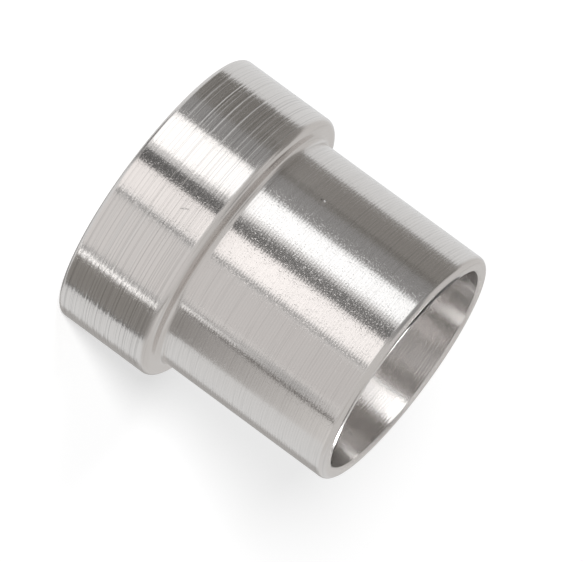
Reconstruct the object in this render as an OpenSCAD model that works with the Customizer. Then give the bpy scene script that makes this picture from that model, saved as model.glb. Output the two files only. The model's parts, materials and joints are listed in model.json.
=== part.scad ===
// Flare sleeve for a metal tube, turned from bar as one piece. It stands on the
// end face of its collar, with its axis on +Z and its tail pointing up. The
// flared end of the tube sits in the cone at the bottom, and a nut that slides
// over the tail pushes on the shoulder.

/* [Tube and bore] */
// Outside diameter of the tube that the sleeve slides on
tube_d = 9.525; // [4.7:0.005:25.4]
// Gap between tube and bore, on the diameter
tube_clearance = 0.135; // [0.05:0.005:0.3]
// Width and depth of the chamfer round the bore at the mouth
mouth_chamfer = 0.1; // [0.02:0.01:0.14]

/* [Tail] */
// Thickness of the tail's wall, from the bore to its outside
tail_wall = 0.62; // [0.5:0.01:0.9]
// Length of the tail, from the shoulder to its mouth
tail_len = 8.33; // [5:0.01:14]
// Radius of the outer edge at the mouth
mouth_edge_r = 0.3; // [0.04:0.02:0.34]

/* [Collar] */
// Width of the shoulder, how far the collar stands out from the tail
shoulder_w = 0.87; // [0.75:0.01:1.2]
// Length of the collar, from its end face to the shoulder
collar_len = 4.47; // [3:0.01:6]
// Radius of the outer edge at the collar's end face
end_edge_r = 0.2; // [0.04:0.02:0.3]
// Radius of the shoulder's outer edge
shoulder_edge_r = 0.36; // [0.04:0.02:0.4]
// Radius of the fillet in the corner between shoulder and tail
shoulder_fillet_r = 0.26; // [0.04:0.02:0.3]

/* [Flare seat] */
// Angle between the seat's cone and the axis
seat_angle = 33; // [28:1:40]
// Width of the ring left between the cone and the collar's outside at the end face
end_ring_w = 0.5; // [0.35:0.01:0.7]
// Radius that rolls the cone into the bore
seat_roll_r = 0.5; // [0.1:0.05:1]

/* [Hidden] */
$fn = 120;

bore_r = (tube_d + tube_clearance) / 2;
tail_r = bore_r + tail_wall;
collar_r = tail_r + shoulder_w;
seat_r = collar_r - end_ring_w;
total_len = collar_len + tail_len;
// Height at which the cone's line would meet the bore's line
seat_depth = (seat_r - bore_r) / tan(seat_angle);
// Distance from that corner to each end of the arc that rolls it over
roll_len = seat_roll_r * tan(seat_angle / 2);
// How far the wedge round a rolled corner reaches, in radii, so that it covers the corner
roll_cover = 1.3;
// How much larger that arc is drawn, so that it always meets both faces
arc_extra = 0.0001;
// How far a cutting shape runs past the face that it opens
overrun = 0.5;

// What a rounded edge loses, for a corner at the origin with metal towards -X and -Y
module edge_waste(edge_r) {
    difference() {
        translate([-edge_r, -edge_r]) square(edge_r + overrun);
        translate([-edge_r, -edge_r]) circle(r = edge_r);
    }
}

// What a fillet adds, for a corner at the origin with metal towards -X and -Y
module fillet_fill(fillet_r) {
    lap = fillet_r / 2;
    difference() {
        translate([-lap, -lap]) square(fillet_r + lap);
        translate([fillet_r, fillet_r]) circle(r = fillet_r);
    }
}

// Half section of the bar after its outside is turned: collar, shoulder, tail
module outside_section() {
    difference() {
        union() {
            square([collar_r, collar_len]);
            square([tail_r, total_len]);
            translate([tail_r, collar_len]) fillet_fill(shoulder_fillet_r);
        }
        translate([collar_r, 0]) mirror([0, 1]) edge_waste(end_edge_r);
        translate([collar_r, collar_len]) edge_waste(shoulder_edge_r);
        translate([tail_r, total_len]) edge_waste(mouth_edge_r);
    }
}

// Half section of the bore, with the chamfer at its mouth
module bore_section() {
    chamfer_run = mouth_chamfer + overrun;
    square([bore_r, total_len + overrun]);
    translate([0, total_len - mouth_chamfer])
        polygon([[0, 0], [bore_r, 0], [bore_r + chamfer_run, chamfer_run], [0, chamfer_run]]);
}

// What a rolled-over corner loses, with the arc's centre at the origin and its faces turned by an angle
module roll_waste(roll_r, turn) {
    reach = roll_r * roll_cover;
    difference() {
        polygon([[0, 0], [-reach, 0], [-reach * cos(turn), -reach * sin(turn)]]);
        circle(r = roll_r + arc_extra);
    }
}

// Half section of the flare seat: a cone that opens in the end face and rolls into the bore
module seat_section() {
    mouth_r = seat_r + overrun * tan(seat_angle);
    polygon([[0, -overrun], [mouth_r, -overrun], [bore_r, seat_depth], [0, seat_depth]]);
    translate([bore_r + seat_roll_r, seat_depth + roll_len]) roll_waste(seat_roll_r, seat_angle);
}

// The whole sleeve: its half section turned once round the axis
module sleeve() {
    color([0.78, 0.77, 0.75])
        rotate_extrude()
            difference() {
                outside_section();
                bore_section();
                seat_section();
            }
}

sleeve();
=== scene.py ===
# %% [markdown]
# # A turned tube sleeve, step by step
#
# The object is a short metal sleeve that slides on a tube. A lathe turned it from one bar, so every
# surface is a line swept once round the same axis. What makes it look real isn't its shape, which is
# simple, but what the cutting tool left behind: coarse uneven rings on the collar, very fine ones on the
# tail and in the bore, and a knock or two.
#
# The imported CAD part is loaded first. It fixes every size, and nothing below moves or resizes it.

import json
import math

import bpy
import numpy as np
from mathutils import Matrix, Vector


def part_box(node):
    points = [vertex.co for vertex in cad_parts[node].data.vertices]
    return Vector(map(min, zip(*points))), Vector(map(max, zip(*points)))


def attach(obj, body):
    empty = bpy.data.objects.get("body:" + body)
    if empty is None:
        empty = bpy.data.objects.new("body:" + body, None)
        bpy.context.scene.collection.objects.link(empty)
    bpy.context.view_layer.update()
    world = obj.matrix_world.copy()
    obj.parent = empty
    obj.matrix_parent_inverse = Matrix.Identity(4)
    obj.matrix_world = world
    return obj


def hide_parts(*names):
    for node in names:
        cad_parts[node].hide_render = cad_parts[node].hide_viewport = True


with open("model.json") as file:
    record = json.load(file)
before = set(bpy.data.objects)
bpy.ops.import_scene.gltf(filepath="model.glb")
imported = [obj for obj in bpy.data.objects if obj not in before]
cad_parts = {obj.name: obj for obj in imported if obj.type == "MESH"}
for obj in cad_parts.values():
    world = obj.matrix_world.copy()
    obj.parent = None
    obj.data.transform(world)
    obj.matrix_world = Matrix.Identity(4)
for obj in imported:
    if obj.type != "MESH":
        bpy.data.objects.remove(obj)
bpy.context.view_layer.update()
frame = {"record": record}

# %% [markdown]
# ## Sizes
#
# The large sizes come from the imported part: its box gives the collar's radius and the whole length, and
# its mounts give the bore, the tail and the place of the shoulder. The small radii of the edges aren't
# written there, so they are repeated here from the part's own drawing, in millimetres.

# %% Read the sizes
MM = 0.001
low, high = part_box("sleeve")
mounts = {mount["name"]: mount for mount in frame["record"]["mounts"]}
collar_r = min(high[0], high[1], -low[0], -low[1])
whole_len = high[2]
bore_r = mounts["bore"]["dims"]["r_mm"] * MM
tail_r = mounts["tail"]["dims"]["r_mm"] * MM
collar_len = mounts["shoulder"]["pos_m"][2]

end_edge_r = 0.20 * MM
shoulder_edge_r = 0.36 * MM
shoulder_fillet_r = 0.26 * MM
mouth_edge_r = 0.30 * MM
mouth_chamfer = 0.10 * MM
end_ring_w = 0.50 * MM
seat_roll_r = 0.50 * MM
seat_angle = math.radians(33)
print("radii in mm:", [round(1000 * value, 3) for value in (collar_r, tail_r, bore_r)])

# %% [markdown]
# ## Lines and arcs of a section
#
# A turned part is its half section, a closed line in the plane of radius and height. A few primitives
# joined together would leave seams, and a modifier such as Bevel would guess where the roundings go. So
# the line is drawn point by point from two helpers, a straight run and an arc, each an array of points.

# %% Helpers that draw the section
CRISP = 0.012 * MM


def run(start, stop, count):
    """Points on a straight line: start plus a share of the way to stop. The first point is start itself.
    The others, count of them, are spread evenly from CRISP after start to CRISP before stop, so that
    shading turns only close to a corner. Stop is left out, because the next stretch begins there."""
    start, stop = np.array(start, float), np.array(stop, float)
    near = CRISP / np.linalg.norm(stop - start)
    share = np.concatenate([[0], np.linspace(near, 1 - near, count)])[:, None]
    return start + share * (stop - start)


def arc(centre, radius, first, last, count):
    """Points on a circle: centre plus radius times (cosine, sine) of an angle that goes from first to
    last, in degrees. The last point is left out."""
    angle = np.radians(np.linspace(first, last, count, endpoint=False))
    return np.array(centre) + radius * np.column_stack([np.cos(angle), np.sin(angle)])


print("heights of a short run in mm:", np.round(1000 * run((0, 0), (0, collar_len), 3)[:, 1], 3).tolist())

# %% [markdown]
# ## Places along the section
#
# Every place follows from the sizes, just as on a drawing: where the seat's cone ends, where each
# rounding starts, and how wide the flat rim is. With names for them, the section reads like a list of cuts.

# %% Work out the places
seat_r = collar_r - end_ring_w
seat_depth = (seat_r - bore_r) / math.tan(seat_angle)
roll_len = seat_roll_r * math.tan(seat_angle / 2)
roll_centre = (bore_r + seat_roll_r, seat_depth + roll_len)
seat_top = (bore_r + roll_len * math.sin(seat_angle), seat_depth - roll_len * math.cos(seat_angle))
ring_out = collar_r - end_edge_r
collar_top = collar_len - shoulder_edge_r
shoulder_out = collar_r - shoulder_edge_r
shoulder_in = tail_r + shoulder_fillet_r
tail_foot = collar_len + shoulder_fillet_r
tail_top = whole_len - mouth_edge_r
rim_out = tail_r - mouth_edge_r
rim_r = bore_r + mouth_chamfer
bore_top = whole_len - mouth_chamfer
print("flat rim in mm:", round(1000 * (rim_out - rim_r), 3), "seat depth:", round(1000 * seat_depth, 3))

# %% [markdown]
# ## The section
#
# The line goes round with the metal on its left: out along the end face, up the outside, over the rim,
# down the bore and back through the flare seat. That order makes the faces point out of the metal.
#
# The runs that carry tool marks get many points, close together, because the marks will be pressed into
# them. Plain runs and small roundings need only a few.

# %% Draw the section
COLLAR_ROWS = 220
TAIL_ROWS = 210
BORE_ROWS = 120
SEAT_ROWS = 24
PLAIN_ROWS = 3
ARC_ROWS = 9

# each stretch of the section: its finish, then its points
stretches = [
    ("edge", run((seat_r, 0), (ring_out, 0), PLAIN_ROWS)),
    ("edge", arc((ring_out, end_edge_r), end_edge_r, -90, 0, ARC_ROWS)),
    ("collar", run((collar_r, end_edge_r), (collar_r, collar_top), COLLAR_ROWS)),
    ("edge", arc((shoulder_out, collar_top), shoulder_edge_r, 0, 90, ARC_ROWS)),
    ("edge", run((shoulder_out, collar_len), (shoulder_in, collar_len), PLAIN_ROWS)),
    ("edge", arc((shoulder_in, tail_foot), shoulder_fillet_r, 270, 180, ARC_ROWS)),
    ("tail", run((tail_r, tail_foot), (tail_r, tail_top), TAIL_ROWS)),
    ("edge", arc((rim_out, tail_top), mouth_edge_r, 0, 90, ARC_ROWS)),
    ("edge", run((rim_out, whole_len), (rim_r, whole_len), PLAIN_ROWS)),
    ("edge", run((rim_r, whole_len), (bore_r, bore_top), PLAIN_ROWS)),
    ("bore", run((bore_r, bore_top), (bore_r, roll_centre[1]), BORE_ROWS)),
    ("bore", arc(roll_centre, seat_roll_r, 180, 180 + math.degrees(seat_angle), ARC_ROWS)),
    ("bore", run(seat_top, (seat_r, 0), SEAT_ROWS)),
]
section = np.vstack([points for finish, points in stretches])
finish_of_row = np.concatenate([[finish] * len(points) for finish, points in stretches])
print("points in the section:", len(section))

# %% [markdown]
# ## Tool marks that are deep enough to be shape
#
# On the real collar the tool left two kinds of ring: deep ones, about two thirds of a millimetre apart,
# and shallower ones between them. They catch the light as separate lines, so they are cut into the mesh.
# The tail and the bore carry rings too, only closer together or shallower. Bump could draw all of them,
# but real dips also show where the metal is seen from the side. Finer marks follow later, as bump.
#
# Each ring is a small bell-shaped dip in the radius. Its place, width and depth are drawn from seeded
# random numbers, so they are uneven but the same on every run. Every dip goes into the metal, never out of
# it, so the part stays inside its CAD box.

# %% Cut the rings
# pitch, width and depth of the rings, and the seed of their random numbers
DEEP_RINGS = (0.62 * MM, 0.042 * MM, 0.012 * MM, 5)
COLLAR_RINGS = (0.17 * MM, 0.035 * MM, 0.006 * MM, 6)
TAIL_RINGS = (0.15 * MM, 0.03 * MM, 0.0012 * MM, 8)
BORE_RINGS = (0.3 * MM, 0.06 * MM, 0.003 * MM, 11)
# how far a ring strays, in pitches, and how much its width and depth vary
STRAY, WIDTHS, DEPTHS = 0.15, (0.7, 1.4), (0.2, 1.0)


def ring_marks(height, first, last, rings):
    """Depth of the marks at each height: the sum of bell-shaped dips, depth times
    exp(-(distance / width)^2), one about every pitch from first to last, fading out within half a pitch
    of both ends."""
    pitch, width, depth, seed = rings
    rng = np.random.default_rng(seed)
    count = int((last - first) / pitch)
    place = first + pitch * (np.arange(count) + 0.5 + rng.uniform(-STRAY, STRAY, count))
    width = width * rng.uniform(*WIDTHS, count)
    strength = depth * rng.uniform(*DEPTHS, count)
    dips = strength * np.exp(-((height[:, None] - place) / width) ** 2)
    fade = np.clip(2 * np.minimum(height - first, last - height) / pitch, 0, 1)
    return dips.sum(axis=1) * fade


radius, height = section[:, 0].copy(), section[:, 1].copy()
on_collar = finish_of_row == "collar"
on_tail = finish_of_row == "tail"
in_bore = np.isclose(radius, bore_r) & (height < bore_top)
radius[on_collar] -= ring_marks(height[on_collar], end_edge_r, collar_top, DEEP_RINGS)
radius[on_collar] -= ring_marks(height[on_collar], end_edge_r, collar_top, COLLAR_RINGS)
radius[on_tail] -= ring_marks(height[on_tail], tail_foot, tail_top, TAIL_RINGS)
radius[in_bore] += ring_marks(height[in_bore], roll_centre[1], bore_top, BORE_RINGS)
print("deepest ring in mm:", round(1000 * (collar_r - radius[on_collar].min()), 4))

# %% [markdown]
# ## Turning the section round the axis
#
# The Spin tool or a Screw modifier could turn the section, but both leave a seam to merge. Here the
# surface is a grid of two parameters: the place along the section, and the turn round the axis. Both close
# on themselves, like a ring cake, so there are no seams and no poles to mend.

# %% A grid that closes both ways
TURN_STEPS = 144


def turned_mesh(name, radius, height, steps):
    """Grid of points (radius times cosine of the turn, radius times sine of the turn, height), one row
    for each step of the turn, with four-sided faces that wrap round in both directions."""
    turn = 2 * np.pi * np.arange(steps) / steps
    points = np.stack([
        np.outer(np.cos(turn), radius),
        np.outer(np.sin(turn), radius),
        np.tile(height, (steps, 1)),
    ], axis=-1).reshape(-1, 3)
    index = np.arange(steps * len(radius)).reshape(steps, len(radius))
    beside = np.roll(index, -1, axis=0)
    faces = np.stack([index, beside, np.roll(beside, -1, axis=1), np.roll(index, -1, axis=1)], axis=-1)
    mesh = bpy.data.meshes.new(name)
    mesh.from_pydata(points, [], faces.reshape(-1, 4))
    mesh.polygons.foreach_set("use_smooth", np.ones(len(mesh.polygons), dtype=bool))
    mesh.update()
    return mesh


sleeve_mesh = turned_mesh("turned_sleeve", radius, height, TURN_STEPS)
print("triangles:", 2 * len(sleeve_mesh.polygons))

# %% [markdown]
# ## Sharp corners
#
# Smooth shading blends the light over every edge. That is right for a rounding, but a corner that a tool
# left sharp would look like melted wax. Three corners of the sleeve are sharp: where the cone opens in the
# end face, and both sides of the small chamfer round the bore. The edges along those rows are marked sharp,
# and shading breaks there while the mesh stays whole.

# %% Mark the sharp corners
def sharpen(mesh, rows, sharp_rows):
    """Marks the edges that run round the part along the given rows of the section, so that shading
    breaks there. Points are numbered row by row, so the rest after dividing by rows tells the row."""
    ends = np.empty(2 * len(mesh.edges), dtype=np.int32)
    mesh.edges.foreach_get("vertices", ends)
    row = ends.reshape(-1, 2) % rows
    sharp = (row[:, 0] == row[:, 1]) & np.isin(row[:, 0], sharp_rows)
    mesh.edges.foreach_set("use_edge_sharp", sharp)


corners = np.array([(seat_r, 0), (rim_r, whole_len), (bore_r, bore_top)])
corner_rows = np.abs(section[:, None] - corners).sum(axis=2).argmin(axis=0)
sharpen(sleeve_mesh, len(section), corner_rows)
print("sharp corners at rows", corner_rows.tolist())

# %% [markdown]
# ## The finished piece
#
# The sleeve is one piece of metal, so it is one object. It rides on the part's only body and stands in for
# the CAD solid, which it covers from end to end.

# %% Put the sleeve in the scene
sleeve = bpy.data.objects.new("turned_sleeve", sleeve_mesh)
bpy.context.scene.collection.objects.link(sleeve)
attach(sleeve, "root")
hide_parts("sleeve")
print("points in the sleeve:", len(sleeve_mesh.vertices))

# %% [markdown]
# ## A helper for shader nodes
#
# The metal's marks, the cards' glow and the surroundings are all small networks of nodes. Written out one
# line per socket they hide what they do, so one helper makes a node, sets it and links it in one call.

# %% Add a node
BLACK = (0, 0, 0, 1)


def add(tree, kind, sockets=None, **settings):
    """A new shader node of this kind. Settings such as its operation go first, because they decide which
    sockets it has. Each socket then gets a number, a colour, or a link from another node's socket."""
    node = tree.nodes.new("ShaderNode" + kind)
    for name, value in settings.items():
        setattr(node, name, value)
    for name, value in (sockets or {}).items():
        if isinstance(value, bpy.types.NodeSocket):
            tree.links.new(value, node.inputs[name])
        else:
            node.inputs[name].default_value = value
    return node


print("materials that came with the CAD part:", len(bpy.data.materials))

# %% [markdown]
# ## Streaks and grain
#
# Two kinds of mark are finer than the mesh. A picture of them would blur from close by and need a seam, so
# noise on the piece's own coordinates draws them. Streaks are noise that is stretched out round the part
# and squeezed along it. They tilt the surface and also darken its colour: an uneven tone along the grooves,
# and painted shade that stands in for the shade falling in them.
# Grain is plain noise that tilts the surface a little in every direction, which makes the edges of
# reflections ragged.

# %% Noise, tilt and tone
def cloud(tree, place, scale, detail):
    """Soft noise from 0 to 1 at the place times the scale, so that a larger scale makes it finer."""
    squeezed = add(tree, "Mapping", {"Vector": place, "Scale": scale}).outputs["Vector"]
    return add(tree, "TexNoise", {"Vector": squeezed, "Scale": 1.0, "Detail": detail}).outputs["Fac"]


def part_above(tree, value, low, high):
    """A number that is 0 where the value is below low, 1 where it is above high, and even between."""
    sockets = {"Value": value, "From Min": low, "From Max": high}
    return add(tree, "MapRange", sockets).outputs["Result"]


def tilted(tree, height, deep, normal):
    """The normal, tilted as if the surface stood out by deep times the height."""
    sockets = {"Strength": 1.0, "Distance": deep, "Height": height, "Normal": normal}
    return add(tree, "Bump", sockets).outputs["Normal"]


def between(tree, share, colour, other):
    """The colour where the share is 0, the other one where it is 1, and a mixture between."""
    sockets = {"Factor": share, "A": colour, "B": other}
    return add(tree, "Mix", sockets, data_type="RGBA").outputs["Result"]


GRAIN, GRAIN_DETAIL, GRAIN_SHOWS = 0.06 * MM, 1.0, (0.57, 0.8)
# the streaks' detail, and the span of their noise below which the grooves carry painted shade
STREAK_DETAIL, STREAK_SHADE = 2.0, (0.32, 0.47)
print("grain in mm:", GRAIN / MM)

# %% [markdown]
# ## The comb
#
# Between the rings lie the tool's own steps, an eighth of a millimetre apart, like the teeth of a comb.
# Bump would tilt them along the axis, and that hardly changes a bright band that runs along the axis too.
# What the eye sees is that the band's edge is cut into teeth: neighbouring steps throw the light slightly
# to one side or the other. So a wave along the axis leans the normal round the part, one way and back.

# %% Lean and darken by a wave
COMB_PITCH, COMB_LEN = 0.12 * MM, 3 * MM
# the length at which the Wave Texture node repeats by itself
WAVE_REPEAT = math.pi / 10
WAVER = 3.5


def comb_wave(tree, place):
    """A wave from 0 to 1 that repeats every COMB_PITCH of height, and wavers over about COMB_LEN."""
    scale = (1 / COMB_LEN, 1 / COMB_LEN, WAVE_REPEAT / COMB_PITCH)
    squeezed = add(tree, "Mapping", {"Vector": place, "Scale": scale}).outputs["Vector"]
    sockets = {"Vector": squeezed, "Scale": 1.0, "Distortion": WAVER, "Detail": 1.0}
    return add(tree, "TexWave", sockets, bands_direction="Z").outputs["Fac"]


def leaning(tree, tangent, wave, swing):
    """The normal, leaned round the part: the normal plus the tangent times swing times
    (2 * wave - 1), brought back to length 1."""
    cut = add(tree, "Math", {0: wave, 1: 2 * swing, 2: -swing}, operation="MULTIPLY_ADD").outputs["Value"]
    sideways = add(tree, "VectorMath", {0: tangent, "Scale": cut}, operation="SCALE").outputs["Vector"]
    normal = add(tree, "NewGeometry").outputs["Normal"]
    leaned = add(tree, "VectorMath", {0: sideways, 1: normal}).outputs["Vector"]
    return add(tree, "VectorMath", {0: leaned}, operation="NORMALIZE").outputs["Vector"]


def darkened(tree, colour, wave, dark):
    """The colour times (1 - dark * wave)."""
    share = add(tree, "Math", {0: wave, 1: dark}, operation="MULTIPLY").outputs["Value"]
    sockets = {"Factor": share, "A": colour, "B": BLACK}
    return add(tree, "Mix", sockets, data_type="RGBA", blend_type="MULTIPLY").outputs["Result"]


print("teeth of the comb on the tail:", round((tail_top - tail_foot) / COMB_PITCH))

# %% [markdown]
# ## Knocks
#
# The collar has one short scratch, and the tail one pit with a dark spot beside it, which is painted shade
# for the pit's shaded side. They could be pushed into the mesh, but it would need far more points there.
# Bump from the distance to a place does the same: the distance is measured in a stretched and turned frame,
# which makes a round dent or a long scratch.

# %% Places of the knocks
# centre, turn round Y in degrees, half sizes, depth, and how much painted shade darkens it
SCRATCH = ((0, -6.32 * MM, 2.94 * MM), -32, (0.03 * MM, 0.2 * MM, 0.24 * MM), 0.010 * MM, 0)
PIT = ((-3.51 * MM, -4.17 * MM, 6.86 * MM), 0, (0.07 * MM, 0.07 * MM, 0.07 * MM), 0.020 * MM, 0)
# the pit's dark side: painted shade, a hardly dented spot whose colour is darkened
PIT_SHADE = ((-3.51 * MM, -4.17 * MM, 6.74 * MM), 0, (0.06 * MM, 0.06 * MM, 0.06 * MM), 0.002 * MM, 0.6)


def dent_shape(tree, place, centre, turn, sizes):
    """The distance from the centre in a frame turned round Y, in half sizes and at most 1, so 0 in the
    middle of the dent and 1 from its rim outwards."""
    sockets = {"Vector": place, "Location": centre, "Rotation": (0, math.radians(turn), 0), "Scale": sizes}
    inside = add(tree, "Mapping", sockets, vector_type="TEXTURE").outputs["Vector"]
    away = add(tree, "VectorMath", {0: inside}, operation="LENGTH").outputs["Value"]
    return add(tree, "MapRange", {"Value": away}).outputs["Result"]


print("length of the scratch in mm:", round(2 * SCRATCH[2][2] / MM, 2))

# %% [markdown]
# ## The metal
#
# Bright turned steel reflects nearly everything, so its colour is only a tint. Its finish is in how it
# blurs reflections: hardly at all round the part, but widely along the axis, because the light crosses the
# fine rings of the cut. The shader's anisotropy does that, turned a quarter so that it spreads along the
# axis. A glossy coat or a picture of brushed steel would only stick to the surface and not follow the light.

# %% Build the metal
METAL = (0.77, 0.742, 0.722)
ALONG_AXIS = 0.25


def turned_metal(name, roughness, spread, streaks, groove_shading, grain_deep, comb, dents=()):
    """Metal whose reflections blur by roughness, and more along the axis by spread, from 0 to 1. Its
    streaks are given as length, width and depth, and darken it by up to toning, as painted shade in the
    grooves; its grain is grain_deep deep. Its comb is given as how far it leans the normal, in radians, and
    how much it darkens. Each dent is a centre, a turn round Y in degrees, three half sizes, a depth and how
    much it darkens, which is painted shade."""
    streak_len, streak_wide, streak_deep = streaks
    lean, comb_dark = comb
    material = bpy.data.materials.new(name)
    material.use_nodes = True
    tree = material.node_tree
    shader = tree.nodes["Principled BSDF"]
    shader.inputs["Metallic"].default_value = 1.0
    shader.inputs["Roughness"].default_value = roughness
    shader.inputs["Anisotropic"].default_value = spread
    shader.inputs["Anisotropic Rotation"].default_value = ALONG_AXIS
    tangent = add(tree, "Tangent", direction_type="RADIAL", axis="Z").outputs["Tangent"]
    place = add(tree, "TexCoord").outputs["Object"]

    streaked = cloud(tree, place, (1 / streak_len, 1 / streak_len, 1 / streak_wide), STREAK_DETAIL)
    grained = cloud(tree, place, (1 / GRAIN, 1 / GRAIN, 1 / GRAIN), GRAIN_DETAIL)
    grain = part_above(tree, grained, *GRAIN_SHOWS)
    wave = comb_wave(tree, place)
    normal = tilted(tree, streaked, streak_deep, leaning(tree, tangent, wave, lean))
    normal = tilted(tree, grain, grain_deep, normal)
    # painted shade: the streaks darken the metal in the grooves, for the shade that falls there, with an
    # uneven tone
    painted_groove_shade = (*[(1 - groove_shading) * part for part in METAL], 1)
    colour = between(tree, part_above(tree, streaked, *STREAK_SHADE), painted_groove_shade, (*METAL, 1))
    colour = darkened(tree, colour, wave, comb_dark)
    for centre, turn, sizes, deep, dark in dents:
        shape = dent_shape(tree, place, centre, turn, sizes)
        normal = tilted(tree, shape, deep, normal)
        # painted shade: the dent's colour darkened towards its middle, for the pit's shaded side
        painted_dent_shade = (*[(1 - dark) * part for part in METAL], 1)
        colour = between(tree, shape, painted_dent_shade, colour)
    tree.links.new(normal, shader.inputs["Normal"])
    tree.links.new(colour, shader.inputs["Base Color"])
    print(name, "has", len(tree.nodes), "nodes")
    return material


# %% [markdown]
# ## Four finishes on one piece
#
# Each face of the sleeve was cut in its own pass, so each has its own finish. The collar was cut fast: long
# streaks, darkened strongly with painted shade. The tail was cut slowly: short faint streaks and a comb. The
# bore is rougher and carries the strongest comb, and the roundings and flat rims are nearly plain. One mesh
# can hold all four: every face points to a material slot, and since each ring of faces belongs to one row of
# the section, the slot numbers of the section are simply repeated for every step of the turn.

# %% Give each stretch its finish
FINISHES = {
    "collar": turned_metal(
        "collar_metal", roughness=0.20, spread=0.9, streaks=(40 * MM, 0.05 * MM, 0.0016 * MM),
        groove_shading=0.30, grain_deep=0.0020 * MM, comb=(0.006, 0.02), dents=[SCRATCH]),
    "tail": turned_metal(
        "tail_metal", roughness=0.21, spread=0.9, streaks=(3 * MM, 0.045 * MM, 0.0014 * MM),
        groove_shading=0.08, grain_deep=0.0026 * MM, comb=(0.010, 0.04), dents=[PIT, PIT_SHADE]),
    "bore": turned_metal(
        "bore_metal", roughness=0.27, spread=1.0, streaks=(2.5 * MM, 0.08 * MM, 0.0020 * MM),
        groove_shading=0.06, grain_deep=0.0012 * MM, comb=(0.012, 0.10)),
    "edge": turned_metal(
        "edge_metal", roughness=0.26, spread=0.2, streaks=(4 * MM, 0.06 * MM, 0.0008 * MM),
        groove_shading=0.08, grain_deep=0.0006 * MM, comb=(0, 0)),
}
for material in FINISHES.values():
    sleeve_mesh.materials.append(material)
slot_of_row = np.array([list(FINISHES).index(finish) for finish in finish_of_row])
sleeve_mesh.polygons.foreach_set("material_index", np.tile(slot_of_row, TURN_STEPS))
print("rows of each finish:", dict(zip(FINISHES, np.bincount(slot_of_row).tolist())))

# %% [markdown]
# ## The light tent
#
# Polished metal shows its surroundings, so a photographer builds them: a pale tent round the part, with a
# bright panel and grey cards hung inside it, each of which draws a band along the metal. A picture of a
# studio round the scene would be quicker, but its bands would fall where they please. Here the tent is a
# glowing ball, paler below than above, and each card is a curved patch that stands round the part at its
# own distance. Only reflections see them, so they neither show in the picture nor light the floor.
#
# A glow has a front only. From behind a card is clear, so one that hangs close to the part never hides
# those on the other side.

# %% Glowing surfaces that only reflections see
hung = []


def glow_material(name, low_tone, high_tone, low, high):
    """Light of low_tone at the height low that turns evenly into high_tone at the height high. The back
    of a surface with this material is clear."""
    material = bpy.data.materials.new(name)
    material.use_nodes = True
    material.cycles.emission_sampling = "NONE"
    tree = material.node_tree
    tree.nodes.clear()
    place = add(tree, "TexCoord").outputs["Object"]
    height = add(tree, "SeparateXYZ", {"Vector": place}).outputs["Z"]
    tone = between(tree, part_above(tree, height, low, high), (*low_tone, 1), (*high_tone, 1))
    glow = add(tree, "Emission", {"Color": tone}).outputs["Emission"]
    clear = add(tree, "BsdfTransparent").outputs["BSDF"]
    behind = add(tree, "NewGeometry").outputs["Backfacing"]
    front = add(tree, "MixShader", {"Fac": behind, 1: glow, 2: clear}).outputs["Shader"]
    add(tree, "OutputMaterial", {"Surface": front})
    return material


def hang(name, radius, height, turn, material):
    """A curved surface with a point for each pair of an outline point (radius, height) and a turn, in
    degrees from the camera's side and positive to its right, that only reflections see."""
    turn = np.radians(turn)
    points = np.stack([
        np.outer(np.sin(turn), radius),
        np.outer(-np.cos(turn), radius),
        np.tile(height, (len(turn), 1)),
    ], axis=-1).reshape(-1, 3)
    index = np.arange(len(turn) * len(radius)).reshape(len(turn), len(radius))
    faces = np.stack([index[:-1, :-1], index[:-1, 1:], index[1:, 1:], index[1:, :-1]], axis=-1)
    mesh = bpy.data.meshes.new(name)
    mesh.from_pydata(points, [], faces.reshape(-1, 4))
    mesh.materials.append(material)
    piece = bpy.data.objects.new(name, mesh)
    bpy.context.scene.collection.objects.link(piece)
    piece.visible_camera = False
    piece.visible_diffuse = False
    piece.visible_shadow = False
    piece.visible_transmission = False
    hung.append(name)


# %% [markdown]
# ## Distances and heights of the cards
#
# Most cards hang far away, where every part of the metal sees them alike. The collar and the tail differ a
# little in the photograph's light, so some cards hang near, at one of them. The bore shows what lies just
# over its mouth, so all but one of its cards hang within the mouth's own radius.
#
# A card's place follows from the band that it has to draw. Seen from the camera, a band that lies at an
# angle round the cylinder shows what stands at twice that angle, and the camera looks down a little, so the
# reflected ray goes down as much. That is why the outside shows what hangs below the horizon, while the
# bore, whose rings throw light upward and out of the mouth, shows what hangs above it.

# %% Hang the tent and define a card
TENT_R = 150 * MM
FAR, NEAR, MOUTH, INNER = 120 * MM, 12 * MM, 4.6 * MM, 4.3 * MM
TENT_TONE = (0.77, 0.78, 0.785)
SKY_TONE = (0.64, 0.63, 0.62)
HORIZON = (-2, 6)
TENT_ROWS, TENT_COLUMNS = 49, 97
FACET = 2


def rise(low, high):
    """Heights at the far distance of two angles above the horizon, in degrees, seen from the part's
    middle: half the length plus the distance times the tangent of the angle."""
    return tuple(whole_len / 2 + FAR * math.tan(math.radians(angle)) for angle in (low, high))


def above(low, high):
    """Heights above the mouth's plane, in millimetres."""
    return whole_len + low * MM, whole_len + high * MM


def card(name, distance, sides, heights, low_tone, high_tone=None, blend=None):
    """A card between two turns, in degrees, and two heights, with a point about every FACET degrees. A
    tone is one number for grey or three for a colour. It turns from low to high over the heights in
    blend, or over the whole card."""
    low_tone = np.broadcast_to(low_tone, 3)
    high_tone = low_tone if high_tone is None else np.broadcast_to(high_tone, 3)
    turn = np.linspace(*sides, max(2, int(abs(sides[1] - sides[0]) / FACET)))
    glow = glow_material(name, low_tone, high_tone, *(blend or heights))
    hang(name, np.full(2, distance), np.array(heights), turn, glow)


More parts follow.
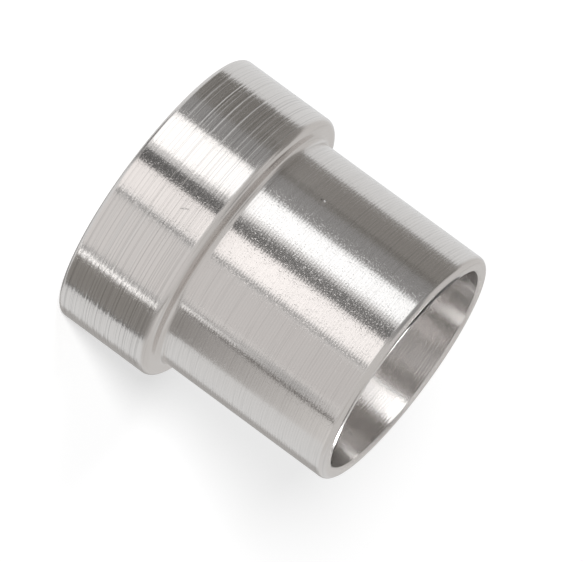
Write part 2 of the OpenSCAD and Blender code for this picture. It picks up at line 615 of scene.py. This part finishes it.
ball = np.radians(np.linspace(-90, 90, TENT_ROWS))
horizon = np.array(rise(*HORIZON)) * TENT_R / FAR
hang("tent", TENT_R * np.cos(ball), whole_len / 2 + TENT_R * np.sin(ball),
     np.linspace(-180, 180, TENT_COLUMNS), glow_material("tent", TENT_TONE, SKY_TONE, *horizon))
print("height of the tent's horizon in mm:", np.round(1000 * horizon, 1).tolist())

# %% [markdown]
# ## Far cards, for bands that run over the whole part
#
# From the camera's left to its right: a dark and a dim card, the bright panel with a softer edge, a slim
# black card that splits the light, a warm white sheet, a grey line, and a wide grey card. A grey card
# behind the part tones the metal along its lower outline. Two dark strips lie flat below the part, for the
# rays that go steeply down from the rounding at its end face or out of the bore's lower end. One card
# hangs near, beside the mouth, and shades the rounding there.

# %% Hang the far cards
card("dark_card", FAR, (-113, -74), rise(-24, 25), (0.19, 0.182, 0.17))
card("dim_card", FAR, (-74, -51.5), rise(-24, 25), 0.27)
card("panel", FAR, (-51.5, -28.5), rise(-34, 2), (1.53, 1.57, 1.6))
card("panel_edge", FAR, (-28.5, -23.5), rise(-34, 2), 0.75)
card("slim_card", FAR, (-23.5, -9.6), rise(-28, 4), 0.13)
card("blush_card", FAR, (-9.6, 14), rise(-30, -3), (1.50, 1.46, 1.45))
card("grey_line", FAR, (15, 19.5), rise(-30, -3), 0.3)

LOW_REACH, LOW_HEIGHT, LOW_COLUMNS = (0.5, 45), -25 * MM, 27
LOW_TONE = (0.22, 0.22, 0.22)
for name, sides in (("low_card", (-60, -8)), ("low_back_card", (120, 172))):
    glow = glow_material(name, LOW_TONE, LOW_TONE, 0, 1)
    hang(name, np.array(LOW_REACH) * MM, np.full(2, LOW_HEIGHT), np.linspace(*sides, LOW_COLUMNS), glow)

card("rim_card", NEAR, (-52, -10), above(0.1, 9), 0.3)
card("grey_card", FAR, (20, 75), rise(-30, -3), (0.79, 0.773, 0.766))
card("edge_card", FAR, (145, 180), rise(-30, 0), (0.42, 0.41, 0.40))
print("hung so far:", len(hung))

# %% [markdown]
# ## Near cards for the collar
#
# The collar shows the same bands as the tail, a little higher or wider, and on its lower side a bright
# line above a dark field. Its cards stand 12 mm from the axis and end below the tail, so the tail, whose
# reflections go down as well, mostly misses them.

# %% Hang the collar's cards
COLLAR_SPAN = (-5 * MM, 3 * MM)
card("collar_dim", NEAR, (50.5, 54.5), COLLAR_SPAN, 0.45)
card("collar_panel", NEAR, (-41.0, -19.0), COLLAR_SPAN, 1.5)
card("collar_panel_edge", NEAR, (-19.0, -15.0), COLLAR_SPAN, 0.75)
card("collar_slim", NEAR, (-15.0, -7.0), COLLAR_SPAN, 0.13)
card("collar_blush", NEAR, (-7.0, 9.7), COLLAR_SPAN, (1.12, 1.09, 1.08))
card("collar_line", NEAR, (54.8, 57.9), COLLAR_SPAN, 1.6)
card("collar_card", NEAR, (58.5, 84.0), COLLAR_SPAN, (0.27, 0.26, 0.245))
card("collar_edge", NEAR, (84.0, 86.5), COLLAR_SPAN, 0.05)
print("hung so far:", len(hung))

# %% [markdown]
# ## Near cards for the tail
#
# The tail's upper side shows a dark warm grey, and its lower side a thin bright line over a dark edge that
# fades towards the mouth. These cards reach higher than the collar's, and four of them change their tone
# with height.

# %% Hang the tail's cards
TAIL_SPAN = (2.5 * MM, 13 * MM)
TAIL_LOW_SPAN = (3 * MM, 13 * MM)
card("tail_dark_card", NEAR, (-90.7, -65.5), TAIL_SPAN, (0.26, 0.25, 0.237))
card("tail_dip", NEAR, (52.3, 54.3), (2.5 * MM, 10.2 * MM), 0.25)
card("tail_line", NEAR, (54.6, 57.2), (3 * MM, 7.5 * MM), 1.1)
card("tail_grey", NEAR, (17.5, 47.0), TAIL_SPAN, (0.72, 0.705, 0.70), (0.66, 0.645, 0.64))
card("tail_shade", NEAR, (50.0, 57.2), (6 * MM, 10.2 * MM), 0.68, 0.45)
card("tail_edge", NEAR, (57.2, 60.6), TAIL_LOW_SPAN, (0.2, 0.19, 0.18), (0.1, 0.09, 0.08))
card("tail_card", NEAR, (61.0, 84.0), TAIL_LOW_SPAN, (0.29, 0.28, 0.27), (0.85, 0.84, 0.83))
print("hung so far:", len(hung))

# %% [markdown]
# ## Cards for the bore
#
# A ray from the camera meets the bore's far wall and crosses the bore before it leaves by the mouth. A card
# far away would show in the roundings of the rim as well, as hard white spots that the photograph doesn't
# have. So all but one of these cards hang within the mouth's radius, with their glow towards the axis, where
# the roundings can't look. The bright panel draws the broad white band. The line and the stripe draw the two
# narrow ones: they glow at their lowest two millimetres and are black above, which keeps some of the tent's
# light out of the bore.

# %% Hang the bore's cards
BORE_SPAN = above(0.2, 10)
card("bore_low_card", INNER, (-159.4, -78.5), BORE_SPAN, 0.15, 0, above(1.6, 3))
card("bore_panel", INNER, (-78.5, -39), BORE_SPAN, (7, 7.1, 7.2))
card("bore_dark_card", INNER, (-39, 9.25), BORE_SPAN, 0.18)
card("bore_pale_card", INNER, (9.25, 46.1), BORE_SPAN, 1.05)
card("bore_grey_card", INNER, (46.1, 57.6), BORE_SPAN, 0.42)
card("bore_dim_card", INNER, (57.6, 88.8), BORE_SPAN, 0.1)
card("bore_dim_edge", INNER, (88.8, 107), BORE_SPAN, 0.2)
card("bore_line", INNER, (109.5, 127.5), above(0.6, 10), 13, 0, above(0.6, 2.6))
card("bore_right_card", NEAR, (93.4, 149), above(0.3, 8), 0.7)
card("bore_stripe", MOUTH, (-177, -162), above(0.3, 10), 15, 0, above(0.3, 2.0))
print("hung in all:", len(hung))

# %% [markdown]
# ## The floor
#
# The sleeve stands on plain white paper, which shows only as white with a soft shadow. Brighter lamps would
# whiten it too, but the shadow would turn hard. So the paper is a pale matt surface that also glows a
# little: the glow lifts it to white, and where the sleeve keeps the lamps' share off it lies the shadow.

# %% Lay the floor
FLOOR_HALF = 0.6
PAPER = (0.9, 0.9, 0.9, 1)
PAPER_GLOW = 0.36


def floor_material():
    """Matt white paper with a glow of its own."""
    material = bpy.data.materials.new("white_floor")
    material.use_nodes = True
    shader = material.node_tree.nodes["Principled BSDF"]
    shader.inputs["Base Color"].default_value = PAPER
    shader.inputs["Roughness"].default_value = 1.0
    shader.inputs["Specular IOR Level"].default_value = 0.0
    shader.inputs["Emission Color"].default_value = (1, 1, 1, 1)
    shader.inputs["Emission Strength"].default_value = PAPER_GLOW
    return material


floor_mesh = bpy.data.meshes.new("floor")
floor_corners = FLOOR_HALF * np.array([(-1, -1, 0), (1, -1, 0), (1, 1, 0), (-1, 1, 0)])
floor_mesh.from_pydata(floor_corners, [], [(0, 1, 2, 3)])
floor_mesh.materials.append(floor_material())
floor = bpy.data.objects.new("floor", floor_mesh)
bpy.context.scene.collection.objects.link(floor)
floor.visible_glossy = False
print("floor is", 2 * FLOOR_HALF, "m wide")

# %% [markdown]
# ## The lamps
#
# The cards draw the metal, so the lamps only have to draw the shadow. A sun would draw it with one even
# edge, while round lamps of some size let it soften with distance. A low one near the camera's own
# direction throws it behind the sleeve, and a weaker, larger and higher one fills it in. Both are hidden
# from reflections, or they would show as two discs in the metal.

# %% Set the lamps
def soft_lamp(name, direction, elevation, distance, size, power):
    """A round lamp that looks at the part's foot from a direction, in degrees from the camera's side and
    positive to its right, and an elevation above the floor."""
    data = bpy.data.lights.new(name, "AREA")
    data.shape = "DISK"
    data.size = size
    data.energy = power
    lamp = bpy.data.objects.new(name, data)
    bpy.context.scene.collection.objects.link(lamp)
    turn, tilt = math.radians(direction), math.radians(elevation)
    back = Vector((math.sin(turn) * math.cos(tilt), -math.cos(turn) * math.cos(tilt), math.sin(tilt)))
    lamp.location = back * distance
    lamp.rotation_euler = (-back).to_track_quat("-Z", "Y").to_euler()
    lamp.visible_glossy = False
    print(name, "stands", distance, "m away and gives", power, "W")


soft_lamp("key_lamp", direction=-4, elevation=11, distance=1.5, size=0.15, power=36)
soft_lamp("fill_lamp", direction=-24, elevation=28, distance=1.2, size=0.3, power=3.4)

# %% [markdown]
# ## The surroundings
#
# Beyond the floor lies plain pale air. The camera, reflections and what shines through see it at full
# strength, so that it looks as pale as the paper, while it lights the scene at half of that and doesn't
# wash the shadow out. Light Path tells the two apart: the largest of its three answers sets the strength.

# %% Set the surroundings
AIR_LIGHT, AIR_SEEN = 0.5, 1.0
world = bpy.data.worlds.new("surroundings")
bpy.context.scene.world = world
world.use_nodes = True
air = world.node_tree
air.nodes.clear()
path = add(air, "LightPath").outputs
seen = add(air, "Math", {0: path["Is Camera Ray"], 1: path["Is Glossy Ray"]}, operation="MAXIMUM")
seen = add(air, "Math", {0: seen.outputs["Value"], 1: path["Is Transmission Ray"]}, operation="MAXIMUM")
strength = add(air, "MapRange", {"Value": seen.outputs["Value"], "To Min": AIR_LIGHT, "To Max": AIR_SEEN})
sky = add(air, "Background", {"Strength": strength.outputs["Result"]})
add(air, "OutputWorld", {"Surface": sky.outputs["Background"]})
print("nodes in the surroundings:", len(air.nodes))

# %% [markdown]
# ## The camera
#
# The photograph shows the sleeve from far off, through a long lens, a little towards its mouth, and with
# its axis sloping down to the right. The part itself isn't turned for it: it stands on the floor, and the
# camera leans instead. Three directions say where it looks: forward, which dips by VIEW_RISE, and right
# and up, which are rolled so that the part's axis lies at AXIS_SLOPE in the picture.
#
# Its distance is the focal length, in pixels of the photograph, times the size of one such pixel at the
# part. A small step to the side puts the part's middle where the photograph has it.

# %% Place the camera
IMAGE_W, IMAGE_H = 583, 562
SENSOR_W = 36.0
FOCUS_PX = 11000
VIEW_RISE = math.radians(11.75)
AXIS_SLOPE = math.radians(36.3)
MIDDLE_PX = (280.0, 278.4)
PX_SIZE = 0.04015 * MM
NEAREST, FARTHEST = 0.001, 10

camera_data = bpy.data.cameras.new("camera")
camera_data.sensor_fit = "HORIZONTAL"
camera_data.sensor_width = SENSOR_W
camera_data.lens = FOCUS_PX / IMAGE_W * SENSOR_W
camera_data.clip_start = NEAREST
camera_data.clip_end = FARTHEST
camera = bpy.data.objects.new("camera", camera_data)
bpy.context.scene.collection.objects.link(camera)

forward = Vector((0, math.cos(VIEW_RISE), -math.sin(VIEW_RISE)))
level_right = Vector((1, 0, 0))
level_up = level_right.cross(forward)
roll = -(math.pi / 2 + AXIS_SLOPE)
up = math.sin(roll) * level_right + math.cos(roll) * level_up
right = math.cos(roll) * level_right - math.sin(roll) * level_up
middle = Vector((0, 0, whole_len / 2))
shift_right = (MIDDLE_PX[0] - IMAGE_W / 2) * PX_SIZE
shift_up = -(MIDDLE_PX[1] - IMAGE_H / 2) * PX_SIZE
camera.location = middle - forward * FOCUS_PX * PX_SIZE - right * shift_right - up * shift_up
camera.rotation_mode = "QUATERNION"
camera.rotation_quaternion = Matrix((right, up, -forward)).transposed().to_quaternion()
bpy.context.scene.camera = camera
bpy.context.scene.view_settings.view_transform = "Standard"
print("camera distance in mm:", round(1000 * (camera.location - middle).length, 1))
